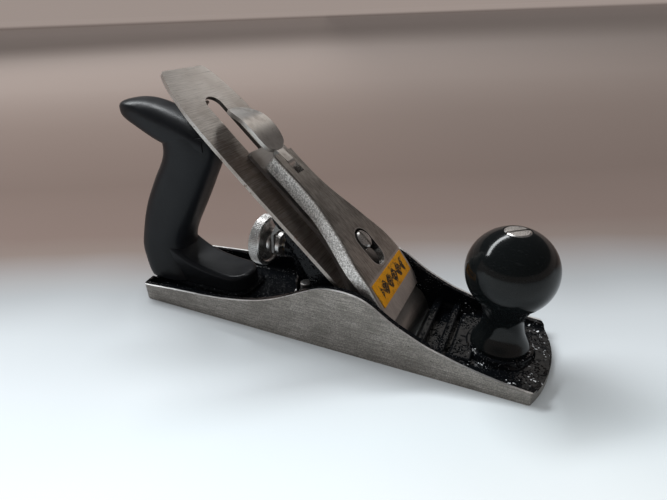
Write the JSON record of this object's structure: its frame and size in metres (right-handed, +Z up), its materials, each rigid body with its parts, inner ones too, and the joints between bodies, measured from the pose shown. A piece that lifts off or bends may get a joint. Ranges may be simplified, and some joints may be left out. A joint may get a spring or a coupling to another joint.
{
  "type": "hand plane",
  "caption": "Metal bench plane: iron body, inclined frog, cutting iron with cap iron and cam-locked lever cap, depth nut, lateral lever, curved rear handle and round front knob.",
  "frame": {"origin": "on the sole's flat face, midway along the body and on its centre line", "axes": "+X towards the toe, +Y to the left cheek, +Z up, square to the sole"},
  "size_m": [0.2618, 0.062, 0.1394],
  "materials": {
    "casting": "ground sides, black enamel inside",
    "japanned": "gloss black enamel on a casting",
    "screw_steel": "satin",
    "dark_steel": "dull zinc",
    "iron_steel": "cross ground",
    "cap_iron_steel": "satin",
    "lever_cap_cast": "polished top, cast sides",
    "cam_steel": "worn",
    "label_print": null,
    "nut_plated": "knurled, plated",
    "bush_brass": "turned",
    "tote_plastic": "satin gloss black",
    "knob_plastic": "gloss black",
    "nut_nickel": "nickel plated"
  },
  "bodies": {
    "plane_body": {"body": "casting", "tote": "tote_plastic", "tote_bolt": "screw_steel", "tote_nut": "nut_nickel", "knob": "knob_plastic", "knob_bolt": "screw_steel", "knob_nut": "nut_nickel", "frog_screws": "screw_steel", "frog_washers": "dark_steel"},
    "frog_set": {"frog": "japanned", "frog_clip": "dark_steel", "frog_clip_screw": "screw_steel", "yoke_pin": "screw_steel", "adjusting_stud": "screw_steel", "lever_cap_screw": "screw_steel", "lateral_rivet": "screw_steel"},
    "frog_adjuster": {"frog_adjusting_screw": "screw_steel"},
    "nut_bush": {"adjusting_bush": "bush_brass"},
    "nut_wheel": {"adjusting_nut": "nut_plated"},
    "depth_yoke": {"yoke": "dark_steel"},
    "cap_screw": {"cap_iron_screw": "dark_steel"},
    "iron_set": {"iron": "iron_steel", "cap_iron": "cap_iron_steel"},
    "lateral_set": {"lateral_lever": "dark_steel", "lateral_disc": "screw_steel"},
    "lever_cap_set": {"lever_cap": "lever_cap_cast", "cam_pin": "screw_steel", "cap_spring": "dark_steel", "cap_spring_rivet": "dark_steel", "label": "label_print"},
    "cam": {"cam_lever": "cam_steel"}
  },
  "joints": [
    {"name": "frog_slide", "type": "slide", "parent": "plane_body", "child": "frog_set", "axis": [1, 0, 0], "range_m": [-0.00088, 0.00088]},
    {"name": "frog_screw_turn", "type": "hinge", "parent": "frog_set", "child": "frog_adjuster", "pos_m": [-0.02, 0, 0.0086], "axis": [1, 0, 0], "range_deg": [-320, 320]},
    {"name": "nut_slide", "type": "slide", "parent": "frog_set", "child": "nut_bush", "axis": [0.9973, 0, -0.0732], "range_m": [-0.0023, 0.0023]},
    {"name": "nut_turn", "type": "hinge", "parent": "nut_bush", "child": "nut_wheel", "pos_m": [-0.0458, 0, 0.0433], "axis": [0.9973, 0, -0.0732], "range_deg": [-810, 810]},
    {"name": "yoke_rock", "type": "hinge", "parent": "frog_set", "child": "depth_yoke", "pos_m": [-0.02345, 0, 0.06223], "axis": [0, 1, 0], "range_deg": [-6.5, 6.5]},
    {"name": "iron_depth", "type": "slide", "parent": "frog_set", "child": "cap_screw", "axis": [-0.7071, 0, 0.7071], "range_m": [-0.00135, 0.00135]},
    {"name": "iron_tilt", "type": "hinge", "parent": "cap_screw", "child": "iron_set", "pos_m": [0.02039, 0, 0.03394], "axis": [0.7071, 0, 0.7071], "range_deg": [-1.45, 1.45]},
    {"name": "lateral_swing", "type": "hinge", "parent": "frog_set", "child": "lateral_set", "pos_m": [-0.03194, 0, 0.08202], "axis": [0.7071, 0, 0.7071], "range_deg": [-12, 12]},
    {"name": "lever_cap_slide", "type": "slide", "parent": "frog_set", "child": "lever_cap_set", "axis": [-0.7071, 0, 0.7071], "range_m": [0, 0.01]},
    {"name": "cam_turn", "type": "hinge", "parent": "lever_cap_set", "child": "cam", "pos_m": [-0.02451, 0, 0.09086], "axis": [0, 1, 0], "range_deg": [0, 95]}
  ],
  "couplings": [
    {"joint": "frog_screw_turn", "follows": "frog_slide", "rad_per_m": 6283.2},
    {"joint": "nut_turn", "follows": "iron_depth", "rad_per_m": -10435},
    {"joint": "nut_slide", "follows": "iron_depth", "ratio": 1.6608},
    {"joint": "yoke_rock", "follows": "iron_depth", "rad_per_m": -80.972},
    {"joint": "iron_tilt", "follows": "lateral_swing", "ratio": -0.11811}
  ]
}
